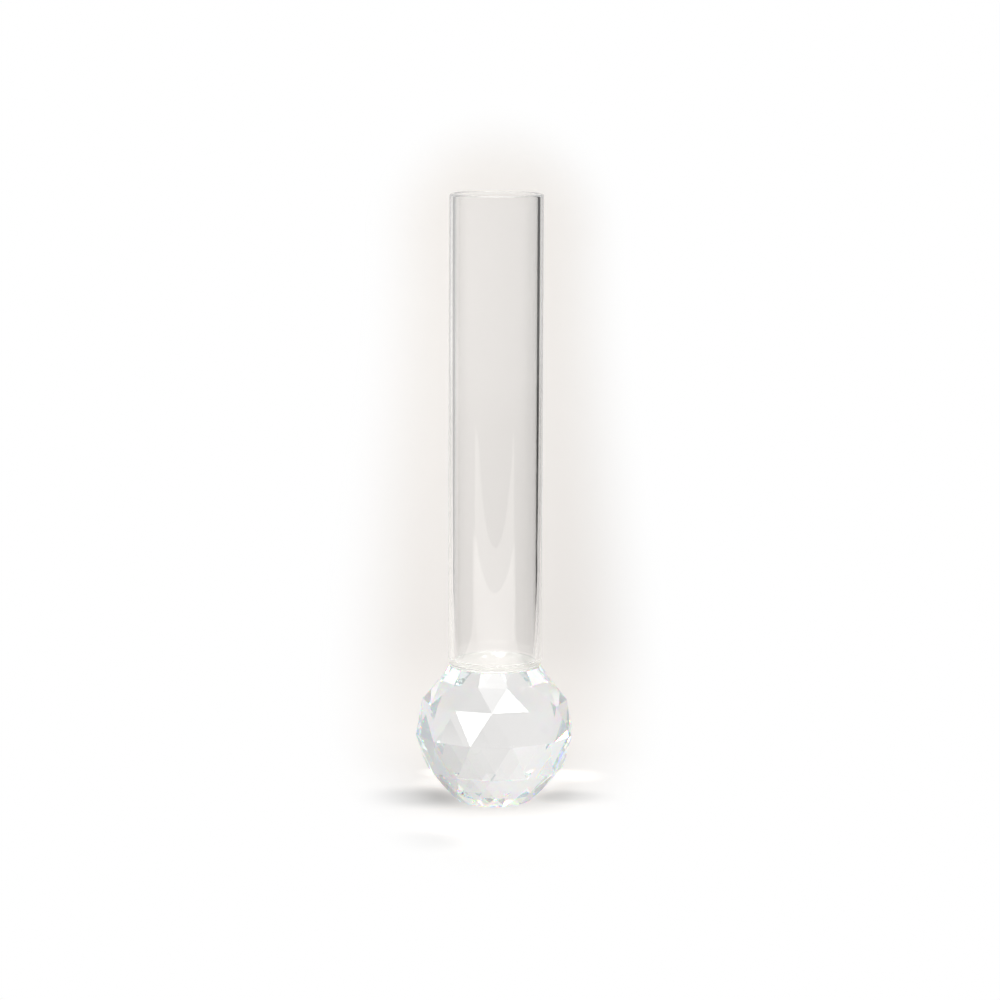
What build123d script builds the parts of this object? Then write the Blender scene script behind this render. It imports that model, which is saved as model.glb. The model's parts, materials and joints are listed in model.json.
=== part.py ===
from build123d import *
import os
from collections import namedtuple
from math import cos, pi, radians, sin

# Glass bud vase. A straight clear tube, closed at its foot, stands on a solid ball of cut crystal
# and a thin film of clear adhesive holds the two together. Nothing on it moves.
#
# Frame: the origin is the centre of the flat the vase rests on, +Z runs up the tube's axis, and
# -Y is the side where a shoulder corner of the ball faces straight out. Millimetres throughout.

# ---- Crystal ball -------------------------------------------------------------------------------
# Facets go round the ball in rows of twelve. The corners between the rows lie on level rings, and
# each ring is given by its corner radius, its height above the rest flat, and how far it is turned.
facets_per_row = 12
facet_step = 360 / facets_per_row
ball_across_flats = 50.0  # widest, between opposite girdle facets
girdle_radius = ball_across_flats / 2 / cos(pi / facets_per_row)

on_axis = 0  # a ring with a corner on +X
between = facet_step / 2  # a ring turned by half a facet

Ring = namedtuple("Ring", "radius height turn")
base = Ring(11.8, 0.0, between)
heel = Ring(16.35, 4.4, between)
belly = Ring(22.2, 10.9, on_axis)
girdle = Ring(girdle_radius, 22.5, between)
shoulder = Ring(23.25, 33.05, on_axis)
crown = Ring(17.65, 39.9, between)
table = Ring(14.9, 44.1, between)

# ---- Glass tube ---------------------------------------------------------------------------------
tube_outer_diameter = 30.0
tube_wall = 1.8  # the floor has the same thickness
tube_length = 151.2
rim_round = 0.8  # fire-polished mouth, nearly a full round
foot_round = 1.3
floor_round = 0.8

# ---- Adhesive -----------------------------------------------------------------------------------
film_thickness = 0.2
bead_contact_angle = 30  # how far up the tube's foot round the squeezed-out bead climbs, in degrees
bead_hollow = 0.08  # how far the bead's free surface sags inwards

tube_foot = table.height + film_thickness
tube_outer_radius = tube_outer_diameter / 2
foot_flat_radius = tube_outer_radius - foot_round


def corners(ring):
    """The corners of one ring, anticlockwise seen from above."""
    first = Vector(ring.radius, 0, ring.height)
    return [first.rotate(Axis.Z, ring.turn + i * facet_step) for i in range(facets_per_row)]


# The ball's body: triangle facets between rings that are turned against each other, and one row of
# trapezoids down to the rest flat. Its collar, up to the table the tube stands on, is a steeper row
# of trapezoids that leaves a shallow inner crease at the crown ring.
with BuildPart() as crystal_ball:
    ConvexPolyhedron([c for ring in (base, heel, belly, girdle, shoulder, crown) for c in corners(ring)])
    for ring in (crown, table):
        with BuildSketch(Plane.XY.offset(ring.height)):
            RegularPolygon(ring.radius, facets_per_row, rotation=ring.turn)
    loft(ruled=True)

# The tube: a length of standard tubing with a closed flat foot.
with BuildPart() as glass_tube:
    with BuildSketch(Plane.XY.offset(tube_foot)):
        Circle(tube_outer_radius)
    extrude(amount=tube_length)
    offset(amount=-tube_wall, openings=glass_tube.faces().sort_by(Axis.Z)[-1])
    foot_edge, floor_edge, rim_edges = glass_tube.edges().filter_by(GeomType.CIRCLE).group_by(Axis.Z)
    fillet(rim_edges, rim_round)
    fillet(foot_edge, foot_round)
    fillet(floor_edge, floor_round)

# The adhesive: a film under the tube's flat foot, and the bead that was squeezed out round it and
# climbs a little way up the foot's round.
bead_rise = foot_round * (1 - cos(radians(bead_contact_angle)))
bead_radius = foot_flat_radius + foot_round * sin(radians(bead_contact_angle))
bead_top = tube_foot + bead_rise
with BuildPart() as bond_layer:
    with BuildSketch(Plane.XZ):
        with BuildLine():
            Polyline((0, bead_top), (0, table.height), (bead_radius, table.height))
            ThreePointArc(
                (bead_radius, table.height),
                (bead_radius - bead_hollow, (table.height + bead_top) / 2),
                (bead_radius, bead_top),
            )
            Line((bead_radius, bead_top), (0, bead_top))
        make_face()
    revolve(axis=Axis.Z)
    add(glass_tube.part, mode=Mode.SUBTRACT)

crystal_ball.part.label = "crystal_ball"
glass_tube.part.label = "glass_tube"
bond_layer.part.label = "bond_layer"

os.makedirs("parts", exist_ok=True)
export_step(crystal_ball.part, "parts/crystal_ball.step")
export_step(glass_tube.part, "parts/glass_tube.step")
export_step(bond_layer.part, "parts/bond_layer.step")
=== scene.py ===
import json
import math

import bmesh
import bpy
from mathutils import Matrix, Vector


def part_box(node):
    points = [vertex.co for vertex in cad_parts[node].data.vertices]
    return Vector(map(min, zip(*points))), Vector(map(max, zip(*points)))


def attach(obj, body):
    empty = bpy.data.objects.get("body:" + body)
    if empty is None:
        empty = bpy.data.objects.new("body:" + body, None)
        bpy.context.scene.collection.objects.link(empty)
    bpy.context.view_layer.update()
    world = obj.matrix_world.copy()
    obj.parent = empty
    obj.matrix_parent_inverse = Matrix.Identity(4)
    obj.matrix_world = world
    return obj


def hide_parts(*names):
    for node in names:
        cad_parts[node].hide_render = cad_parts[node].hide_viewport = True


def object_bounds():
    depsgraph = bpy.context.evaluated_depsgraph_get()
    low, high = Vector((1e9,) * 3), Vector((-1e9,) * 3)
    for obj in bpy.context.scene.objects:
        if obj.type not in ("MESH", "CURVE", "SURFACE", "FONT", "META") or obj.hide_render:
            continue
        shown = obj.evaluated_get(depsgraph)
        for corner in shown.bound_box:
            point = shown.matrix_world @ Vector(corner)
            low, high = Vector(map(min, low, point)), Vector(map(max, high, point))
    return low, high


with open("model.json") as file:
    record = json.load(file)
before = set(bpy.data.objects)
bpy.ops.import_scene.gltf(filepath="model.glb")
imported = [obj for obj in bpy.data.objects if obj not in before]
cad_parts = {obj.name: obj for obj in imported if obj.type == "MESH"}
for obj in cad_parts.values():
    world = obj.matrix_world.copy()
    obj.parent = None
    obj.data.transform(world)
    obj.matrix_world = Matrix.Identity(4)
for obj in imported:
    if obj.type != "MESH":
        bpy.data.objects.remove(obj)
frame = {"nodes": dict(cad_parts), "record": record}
cad_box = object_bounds()

# A clear glass bud vase: a tube glued upright on a ball of cut crystal, standing on white paper in
# a pale light tent. Glass shows little but its surroundings, so the studio is modelled with care.
# Lengths are in metres.
MM = 0.001
FULL_TURN = 2 * math.pi

# ---- Sizes read from the frame ------------------------------------------------------------------
tube_low, tube_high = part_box("glass_tube")
bond_low, bond_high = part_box("bond_layer")
ball_low, ball_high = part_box("crystal_ball")
mouth = next(m for m in frame["record"]["mounts"] if m["name"] == "mouth_bore")
tube_radius = tube_high.x
bore_radius = mouth["dims"]["r_mm"] * MM
tube_wall = tube_radius - bore_radius
table_height = ball_high.z
bead_radius = bond_high.x

# ---- Fine shape the CAD pieces also have --------------------------------------------------------
rim_round = 0.8 * MM
foot_round = 1.3 * MM
floor_round = 0.8 * MM
bead_hollow = 0.08 * MM
spin_steps = 192
arc_steps = 8
level_tolerance = 0.001 * MM
facet_tolerance = math.radians(0.5)  # neighbouring faces nearer than this to level are one facet


# ---- Shader graphs ------------------------------------------------------------------------------
class Graph:
    """Short names for adding and joining the nodes of one node tree."""

    def __init__(self, tree):
        self.tree = tree

    def plug(self, socket, value):
        if isinstance(value, bpy.types.NodeSocket):
            self.tree.links.new(value, socket)
        elif socket.type == "RGBA":
            socket.default_value = (*value, 1)
        else:
            socket.default_value = value

    def node(self, kind, inputs=None, output=0, **settings):
        """Adds one node and returns one of its outputs. Inputs go by name or by number."""
        node = self.tree.nodes.new("ShaderNode" + kind)
        for name, value in settings.items():
            setattr(node, name, value)
        for socket, value in (inputs or {}).items():
            self.plug(node.inputs[socket], value)
        return node.outputs[output]

    def maths(self, operation, *values):
        return self.node("Math", dict(enumerate(values)), operation=operation)

    def vector(self, operation, *values, output=0):
        return self.node("VectorMath", dict(enumerate(values)), output, operation=operation)

    def dot(self, first, second):
        return self.vector("DOT_PRODUCT", first, second, output="Value")

    def length(self, vector):
        return self.vector("LENGTH", vector, output="Value")

    def scale(self, vector, factor):
        return self.node("VectorMath", {"Vector": vector, "Scale": factor}, operation="SCALE")

    def smooth(self, value, start, stop, low=0.0, high=1.0):
        """Changes softly from low to high while the value goes from start to stop."""
        ends = {"Value": value, "From Min": start, "From Max": stop, "To Min": low, "To Max": high}
        return self.node("MapRange", ends, "Result", interpolation_type="SMOOTHSTEP")

    def seen_by_camera(self):
        return self.node("LightPath", output="Is Camera Ray")

    def mix(self, share, first, second):
        return self.node("MixShader", {0: share, 1: first, 2: second})

    def add(self, first, second):
        return self.node("AddShader", {0: first, 1: second})

    def show(self, surface):
        """Makes a shader the surface of the material."""
        output = self.tree.nodes.new("ShaderNodeOutputMaterial")
        self.plug(output.inputs["Surface"], surface)


# ---- Materials of the vase ----------------------------------------------------------------------
# A light path that is still inside the glass after this many bounces is given the tent's light.
LEAK_DEPTH = 16
LEAK_LIGHT = 0.6
# Share of a facet's slant to the camera where its colours start to part, and where they part fully.
SPLIT_START = 0.15
SPLIT_FULL = 0.5


def new_material(name):
    material = bpy.data.materials.new(name)
    material.use_nodes = True
    material.node_tree.nodes.clear()
    return material, Graph(material.node_tree)


def leak_light(graph, surface):
    """Light that has bounced this often inside would have got out over the worn edges of a real
    piece, so from there on it is given the tent's mean light."""
    depth = graph.node("LightPath", output="Ray Depth")
    late = graph.maths("GREATER_THAN", depth, LEAK_DEPTH)
    mean = graph.node("Emission", {"Strength": LEAK_LIGHT})
    return graph.mix(late, surface, mean)


def clear_glass(name, ior, tint):
    material, graph = new_material(name)
    glass = graph.node("BsdfGlass", {"Color": tint, "IOR": ior, "Roughness": 0})
    graph.show(leak_light(graph, glass))
    material.cycles.emission_sampling = "NONE"
    return material


def facet_shader(graph, ior, refracted, reflected):
    """Polished facet: light going through is tinted, light thrown back keeps nearly all its colour."""
    share = graph.node("Fresnel", {"IOR": ior})
    through = graph.node("BsdfRefraction", {"Color": refracted, "IOR": ior, "Roughness": 0})
    back = graph.node("BsdfGlossy", {"Color": reflected, "Roughness": 0})
    return graph.mix(share, through, back)


def colour_split(graph, ior, spread, refracted, reflected):
    """The same facet with red, green and blue each bent a little differently."""
    layers = []
    for channel, step in enumerate((-1, 0, 1)):
        mask = [float(i == channel) for i in range(3)]
        tints = [[m * c for m, c in zip(mask, colour)] for colour in (refracted, reflected)]
        layers.append(facet_shader(graph, ior + step * spread, *tints))
    red, green, blue = layers
    return graph.add(graph.add(red, green), blue)


def slant_seen(graph):
    """How far a facet that the camera sees directly is turned from it, 0 to 1. 0 for other light."""
    slant = graph.node("LayerWeight", {"Blend": 0.5}, "Facing")
    share = graph.smooth(slant, SPLIT_START, SPLIT_FULL)
    return graph.maths("MULTIPLY", graph.seen_by_camera(), share)


def crystal_glass(name, ior, spread, refracted, reflected):
    """Cut crystal, which breaks light into colours where the camera looks through a slanting facet."""
    material, graph = new_material(name)
    plain = facet_shader(graph, ior, refracted, reflected)
    split = colour_split(graph, ior, spread, refracted, reflected)
    graph.show(leak_light(graph, graph.mix(slant_seen(graph), plain, split)))
    material.cycles.emission_sampling = "NONE"
    return material


def bonded_face(name, milkiness, colour, glow):
    """A face glued to another piece: light goes straight on, less what cloudy glue scatters. The
    glow stands for light that the ball gathers in the cloudy glue."""
    material, graph = new_material(name)
    clear = graph.node("BsdfTransparent")
    back = graph.node("BsdfDiffuse", {"Color": colour})
    through = graph.node("BsdfTranslucent", {"Color": colour})
    gathered = graph.node("Emission", {"Color": colour, "Strength": glow})
    cloud = graph.add(graph.mix(0.5, back, through), gathered)
    graph.show(graph.mix(milkiness, clear, cloud))
    return material


tube_material = clear_glass("drawn_glass", 1.473, (0.995, 0.995, 0.995))
crystal_material = crystal_glass("crystal_glass", 1.53, 0.006, (0.96, 0.972, 0.984), (0.99, 1.0, 1.0))
glue_material = clear_glass("cured_glue", 1.5, (0.985, 0.98, 0.95))
bonded = bonded_face("bonded_face", 0.0, (1, 1, 1), 0.0)
# The cloudy glue's glow is painted light: emission that stands for light the ball gathers in it.
cloudy_glowing_bond = bonded_face("cloudy_glowing_bonded_face", 0.6, (1.0, 0.98, 0.92), 0.5)


# ---- Pieces of the vase -------------------------------------------------------------------------
def arc(centre_r, centre_z, radius, start, stop):
    """Points of an arc in the (r, z) half plane, angles in degrees, 0 along +r and 90 along +z."""
    angles = [math.radians(start + (stop - start) * i / arc_steps) for i in range(arc_steps + 1)]
    return [(centre_r + radius * math.cos(a), centre_z + radius * math.sin(a)) for a in angles]


def new_piece(name, bm, materials):
    mesh = bpy.data.meshes.new(name)
    bmesh.ops.recalc_face_normals(bm, faces=bm.faces)
    bm.to_mesh(mesh)
    bm.free()
    for material in materials:
        mesh.materials.append(material)
    piece = bpy.data.objects.new(name, mesh)
    bpy.context.scene.collection.objects.link(piece)
    return piece


def level_ring(bm, radius, height):
    """Evenly spaced points round the Z axis, or a single point where the radius is nothing."""
    if radius < level_tolerance:
        return [bm.verts.new((0, 0, height))]
    angles = [FULL_TURN * i / spin_steps for i in range(spin_steps)]
    return [bm.verts.new((radius * math.cos(a), radius * math.sin(a), height)) for a in angles]


def spin_profile(profile, slot_at):
    """Turns an (r, z) outline round the Z axis. slot_at(r, z) gives a face's material slot."""
    bm = bmesh.new()
    rings = [level_ring(bm, r, z) for r, z in profile]
    for (low, high), ((r0, z0), (r1, z1)) in zip(zip(rings, rings[1:]), zip(profile, profile[1:])):
        slot = int(slot_at((r0 + r1) / 2, (z0 + z1) / 2))
        for i in range(spin_steps):
            j = (i + 1) % spin_steps
            corners = [low[i % len(low)], low[j % len(low)], high[j % len(high)], high[i % len(high)]]
            face = bm.faces.new(list(dict.fromkeys(corners)))
            face.material_index = slot
            face.smooth = True
    return bm


def build_tube():
    """The closed tube. Its outside faces that touch the glue take the bonded material."""
    foot, top = tube_low.z, tube_high.z
    inner_floor = foot + tube_wall
    profile = [(0, foot)]
    profile += arc(tube_radius - foot_round, foot + foot_round, foot_round, -90, 0)
    profile += arc(tube_radius - rim_round, top - rim_round, rim_round, 0, 90)
    profile += arc(bore_radius + rim_round, top - rim_round, rim_round, 90, 180)
    profile += arc(bore_radius - floor_round, inner_floor + floor_round, floor_round, 0, -90)
    profile += [(0, inner_floor)]
    bm = spin_profile(profile, lambda r, z: z < bond_high.z and r < bead_radius)
    return new_piece("tube", bm, [tube_material, bonded])


def build_bond():
    """The glue: a thin film under the tube's foot, and a bead that climbs a little way up its round.
    The film's top is cloudy and carries a painted glow for the light the ball gathers, and its
    underside is bonded to the ball."""
    film_top = tube_low.z
    lean = math.degrees(math.acos(1 - (bond_high.z - film_top) / foot_round))
    flat = tube_radius - foot_round
    middle = (table_height + bond_high.z) / 2
    profile = [(0, table_height), (bead_radius, table_height), (bead_radius - bead_hollow, middle)]
    profile += arc(flat, film_top + foot_round, foot_round, lean - 90, -90) + [(0, film_top)]

    def slot_at(r, z):
        if r < flat and z > film_top - level_tolerance:
            return 2
        return z < table_height + level_tolerance

    bm = spin_profile(profile, slot_at)
    return new_piece("bond_film", bm, [glue_material, bonded, cloudy_glowing_bond])


def glue_spot(bm, table):
    """Splits the ball's flat table into the round glued spot (slot 1) and the free glass round it."""
    step = FULL_TURN / spin_steps
    corners = sorted(table.verts, key=lambda v: math.atan2(v.co.y, v.co.x))
    starts = [round(math.atan2(v.co.y, v.co.x) / step) for v in corners]
    bmesh.ops.delete(bm, geom=[table], context="FACES_ONLY")
    rim = level_ring(bm, bead_radius, table_height)
    bm.faces.new(rim).material_index = 1
    for i, corner in enumerate(corners):
        after = (i + 1) % len(corners)
        start, stop = starts[i], starts[after]
        stop += spin_steps if stop < start else 0
        between = [rim[k % spin_steps] for k in range(stop, start - 1, -1)]
        bm.faces.new([corner, corners[after]] + between)


def build_crystal():
    """The ball keeps its CAD shape, with each flat facet made one face."""
    bm = bmesh.new()
    bm.from_mesh(frame["nodes"]["crystal_ball"].data)
    bmesh.ops.remove_doubles(bm, verts=bm.verts, dist=level_tolerance)
    bmesh.ops.dissolve_limit(bm, angle_limit=facet_tolerance, verts=bm.verts, edges=bm.edges)
    for face in bm.faces:
        face.smooth = False
    glue_spot(bm, max(bm.faces, key=lambda f: f.calc_center_median().z))
    return new_piece("crystal", bm, [crystal_material, bonded])


for piece, node, slot in (
    (build_tube(), "glass_tube", "tube_glass"),
    (build_bond(), "bond_layer", "clear_adhesive"),
    (build_crystal(), "crystal_ball", "cut_crystal"),
):
    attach(piece, "root")
    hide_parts(node)


# ---- Camera -------------------------------------------------------------------------------------
camera_distance = 1.1076
camera_tilt = math.radians(8.56)
camera_turn = math.radians(2.07)
camera_roll = math.radians(0.24)
camera_lens = 124.85
camera_film = 36
side_step = 1.46 * MM


def build_camera():
    low, high = Vector(cad_box[0]), Vector(cad_box[1])
    turn = Matrix.Rotation(camera_turn, 4, "Z")
    aim = (low + high) / 2 + turn @ Vector((side_step, 0, 0))
    back = turn @ Vector((0, -math.cos(camera_tilt), math.sin(camera_tilt)))
    data = bpy.data.cameras.new("camera")
    data.lens = camera_lens
    data.sensor_width = camera_film
    camera = bpy.data.objects.new("camera", data)
    bpy.context.scene.collection.objects.link(camera)
    look = (-back).to_track_quat("-Z", "Y").to_matrix() @ Matrix.Rotation(camera_roll, 3, "Z")
    camera.rotation_euler = look.to_euler()
    camera.location = aim + back * camera_distance
    bpy.context.scene.camera = camera
    return camera


def build_rig(camera):
    """The studio hangs on this. It turns with the camera, so every side is seen in the same light."""
    rig = bpy.data.objects.new("studio_rig", None)
    bpy.context.scene.collection.objects.link(rig)
    follow = rig.constraints.new("COPY_ROTATION")
    follow.target = camera
    follow.use_x = False
    follow.use_y = False
    return rig


rig = build_rig(build_camera())


# ---- Light tent ---------------------------------------------------------------------------------
TENT = 0.62
UNDER_TABLE = 0.12
TENT_COLOUR = (1.0, 0.995, 0.985)
TABLE_DIP = (-0.13, -0.09)  # the tent goes dim between these heights of a unit direction
# Soft round patches on the tent, set until the glass looked right. Each one is
# name: azimuth, elevation, inner and outer half width (all in degrees), strength above the tent's own.
LAMPS = {
    "left_lamp": (-36, 26.5, 4.5, 6.5, 9.0),
    "right_lamp": (36, 55, 3, 7, 7.0),
    "front_lamp": (-5, 52, 5, 9, 4.4),
    "high_lamp": (-8.6, 72, 5, 9, 3.0),
    "overhead_softbox": (180, 80, 12, 20, 2.6),
    "left_kicker": (-128, 18, 2, 5, 0.8),
    "right_kicker": (121, 22, 3, 7, 1.6),
}
# Weaker patches, where the tent's cloth is a little brighter or (below zero) darker than elsewhere.
CLOTH_PATCHES = {
    "camera_left": (-11, 16, 6, 17, -0.22),
    "camera_right": (11, 16, 6, 17, -0.22),
    "left_bounce": (-34, 39, 2, 6, 0.3),
    "upper_front": (-2, 38, 6, 14, 0.15),
    "left_lower_side": (-134, -10, 10, 18, 0.35),
    "left_upper_side": (-134, 15, 9, 15, 0.3),
    "right_lower_side": (136, -10, 10, 18, -0.22),
    "right_upper_side": (134, 21, 4, 10, 0.1),
}


def direction(azimuth, elevation):
    """Unit vector. Azimuth 0 is towards the camera, positive to the camera's right."""
    a, e = math.radians(azimuth), math.radians(elevation)
    return Vector((math.sin(a) * math.cos(e), -math.cos(a) * math.cos(e), math.sin(e)))


def build_world():
    """A pale tent all round, dim below the table's level, with a few soft lamps shining through it.
    The camera itself sees it as white."""
    world = bpy.data.worlds.new("studio")
    bpy.context.scene.world = world
    world.use_nodes = True
    graph = Graph(world.node_tree)
    ray = graph.vector("NORMALIZE", graph.node("TexCoord", output="Object", object=rig))
    height = graph.node("SeparateXYZ", {0: ray}, "Z")
    total = graph.smooth(height, *TABLE_DIP, UNDER_TABLE, TENT)
    for azimuth, elevation, inner, outer, strength in (*LAMPS.values(), *CLOTH_PATCHES.values()):
        facing = graph.dot(ray, direction(azimuth, elevation))
        edge, core = math.cos(math.radians(outer)), math.cos(math.radians(inner))
        total = graph.maths("ADD", total, graph.smooth(facing, edge, core, 0, strength))
    seen = graph.seen_by_camera()
    tints = {"Factor": seen, "A": TENT_COLOUR, "B": (1, 1, 1)}
    background = world.node_tree.nodes["Background"]
    graph.plug(background.inputs["Color"], graph.node("Mix", tints, "Result", data_type="RGBA"))
    graph.plug(background.inputs["Strength"], graph.maths("MAXIMUM", total, seen))


# ---- Paper --------------------------------------------------------------------------------------
PAPER_GAP = 0.02 * MM  # the paper lies this far under the ball, so that the faces don't coincide
PAPER_COLOUR = (0.935, 0.91, 0.89)
GLOW_COLOUR = (1, 0.98, 0.95)
# The camera sees paper as itself near the vase's axis and as white further off.
FADE_LOW = 30 * MM
FADE_HIGH = 182 * MM
FADE_START = 16 * MM
FADE_END = 42 * MM
FADE_FOOT = 1.35  # the fade is this much wider at the foot than at the mouth
# Extra light on the sheet's front strip and on its wall, and the share of light its right side lacks.
STRIP_LIGHT = 0.85
WALL_WASH = 0.28
SIDE_LOSS = 0.3
# Where each of these starts and where it is full: along the sheet, up it, and across it.
STRIP_ALONG = (-0.12, -0.2)
BACK_ALONG = (0.08, 0.3)
WASH_UP = (-0.05, 0.2)
SIDE_ACROSS = (-0.2, 0.3)
# Brighter spots of painted light: light that ball and tube gather, a pool of light in front, and a
# patch of light on the wall. Each one is name: middle and reach in mm, then strength.
GLOWS = {
    "behind_ball": ((0, 24, 0), (20, 20, 10), 0.4),
    "under_ball": ((3, 5, 0), (16, 15, 10), 0.3),
    "behind_left": ((-19, 38, 0), (6, 6, 10), 0.18),
    "behind_right": ((19, 38, 0), (6, 6, 10), 0.18),
    "left_lamp_focus": ((27, 33, 0), (10, 9, 10), 0.2),
    "right_lamp_focus": ((-20, 22, 0), (6, 7, 10), 0.05),
    "pool_of_light": ((12, -40, 0), (50, 36, 40), 0.28),
    "backdrop_light_patch": ((-135, 360, 45), (50, 35, 45), 0.08),
}
# Darker spots: beside the base under the ball's overhang, and in front on the left.
# Each one is name: middle and reach in mm, then the share of light lost.
SHADOWS = {
    "left_of_base": ((-27, 1, 0), (20, 14, 10), 0.48),
    "right_of_base": ((25, 3, 0), (14, 9, 10), 0.34),
    "front_left": ((-24, -57, 0), (14, 12, 10), 0.5),
}
# A spot starts at this many times its reach from its middle, and is full at this many times.
SPOT_EDGE = 1.4
SPOT_CORE = 0.3


def soft_spot(graph, place, middle, reach, outside, inside):
    """A value that changes softly from outside to inside round a spot on the paper, sizes in mm."""
    offset = graph.vector("SUBTRACT", place, [c * MM for c in middle])
    offset = graph.vector("DIVIDE", offset, [c * MM for c in reach])
    return graph.smooth(graph.length(offset), SPOT_EDGE, SPOT_CORE, outside, inside)


def paper_fade(graph):
    """0 where the line of sight passes close to the vase, 1 where it passes far from it."""
    point = graph.node("NewGeometry", output="Position")
    view = graph.node("NewGeometry", output="Incoming")
    level = graph.vector("MULTIPLY", view, (1, 1, 0))
    along = graph.maths("DIVIDE", graph.dot(point, level), graph.dot(level, level))
    nearest = graph.vector("SUBTRACT", point, graph.scale(view, along))
    height = graph.node("SeparateXYZ", {0: nearest}, "Z")
    height = graph.maths("MINIMUM", graph.maths("MAXIMUM", height, FADE_LOW), FADE_HIGH)
    axis_point = graph.node("CombineXYZ", {"Z": height})
    away = graph.vector("CROSS_PRODUCT", graph.vector("SUBTRACT", point, axis_point), view)
    spread = graph.smooth(height, FADE_LOW, FADE_HIGH, FADE_FOOT, 1)
    return graph.smooth(graph.maths("DIVIDE", graph.length(away), spread), FADE_START, FADE_END)


def paper_glow(graph, place, parts, back):
    """Strength of the light added to the paper."""
    front = graph.smooth(parts["Y"], *STRIP_ALONG, 0, STRIP_LIGHT)
    wall = graph.maths("MULTIPLY", graph.smooth(parts["Z"], *WASH_UP, 0, WALL_WASH), back)
    total = graph.maths("ADD", front, wall)
    for middle, reach, strength in GLOWS.values():
        total = graph.maths("ADD", total, soft_spot(graph, place, middle, reach, 0, strength))
    return total


def paper_kept(graph, place, parts, back):
    """Share of the paper's colour kept, as painted shade: less to the right on the wall, and in
    shadows.
    """
    side = graph.smooth(parts["X"], *SIDE_ACROSS, 0, SIDE_LOSS)
    kept = graph.maths("SUBTRACT", 1, graph.maths("MULTIPLY", side, back))
    for middle, reach, loss in SHADOWS.values():
        kept = graph.maths("MULTIPLY", kept, soft_spot(graph, place, middle, reach, 1, 1 - loss))
    return kept


def paper_material():
    """Matt pale paper. Away from the vase the camera sees it fade softly to white."""
    material, graph = new_material("paper")
    place = graph.node("TexCoord", output="Object", object=rig)
    parts = {axis: graph.node("SeparateXYZ", {0: place}, axis) for axis in "XYZ"}
    back = graph.smooth(parts["Y"], *BACK_ALONG)
    colour = graph.scale(PAPER_COLOUR, paper_kept(graph, place, parts, back))
    glow = {"Color": GLOW_COLOUR, "Strength": paper_glow(graph, place, parts, back)}
    lit = graph.add(graph.node("BsdfDiffuse", {"Color": colour}), graph.node("Emission", glow))
    fade = graph.maths("MULTIPLY", paper_fade(graph), graph.seen_by_camera())
    graph.show(graph.mix(fade, lit, graph.node("Emission")))
    material.cycles.emission_sampling = "NONE"
    return material


# The flat of the sheet, front to back: how far back, then its left and right edges. The tube's
# walls mirror the front edge as two arches, and mirror the side edges as upright borders.
sweep_start = 0.25
FLAT_OUTLINE = (
    (-0.3, -0.32, 0.35),
    (-0.26, -0.385, 0.31),
    (-0.13, -0.193, 0.17),
    (0.1, -0.185, 0.185),
    (sweep_start, -0.215, 0.215),
)
sweep_radius = 0.15
sweep_steps = 15
wall_height = 1.2
wall_half_width = 0.235


def build_floor():
    """A paper sheet that runs back from the front of the table and sweeps up into a wall."""
    outline = [(y, -PAPER_GAP, left, right) for y, left, right in FLAT_OUTLINE]
    wall_sides = (-wall_half_width, wall_half_width)
    for step in range(1, sweep_steps + 1):
        a = math.radians(90 * step / sweep_steps)
        y, z = sweep_start + sweep_radius * math.sin(a), sweep_radius * (1 - math.cos(a))
        outline.append((y, z, *wall_sides))
    outline.append((sweep_start + sweep_radius, wall_height, *wall_sides))
    bm = bmesh.new()
    rows = [[bm.verts.new((x, y, z)) for x in sides] for y, z, *sides in outline]
    for (a, b), (c, d) in zip(rows, rows[1:]):
        bm.faces.new((a, b, d, c)).smooth = True
    floor = new_piece("floor", bm, [paper_material()])
    floor.parent = rig


build_world()
build_floor()

# ---- Light paths --------------------------------------------------------------------------------
GLASS_BOUNCES = 64
PAPER_BOUNCES = 24
BRIGHTEST_SAMPLE = 8  # stops single stray rays from leaving bright specks
scene = bpy.context.scene
scene.view_settings.view_transform = "Standard"
scene.cycles.max_bounces = GLASS_BOUNCES
scene.cycles.transmission_bounces = GLASS_BOUNCES
scene.cycles.glossy_bounces = GLASS_BOUNCES
scene.cycles.transparent_max_bounces = GLASS_BOUNCES
scene.cycles.diffuse_bounces = PAPER_BOUNCES
scene.cycles.sample_clamp_indirect = BRIGHTEST_SAMPLE
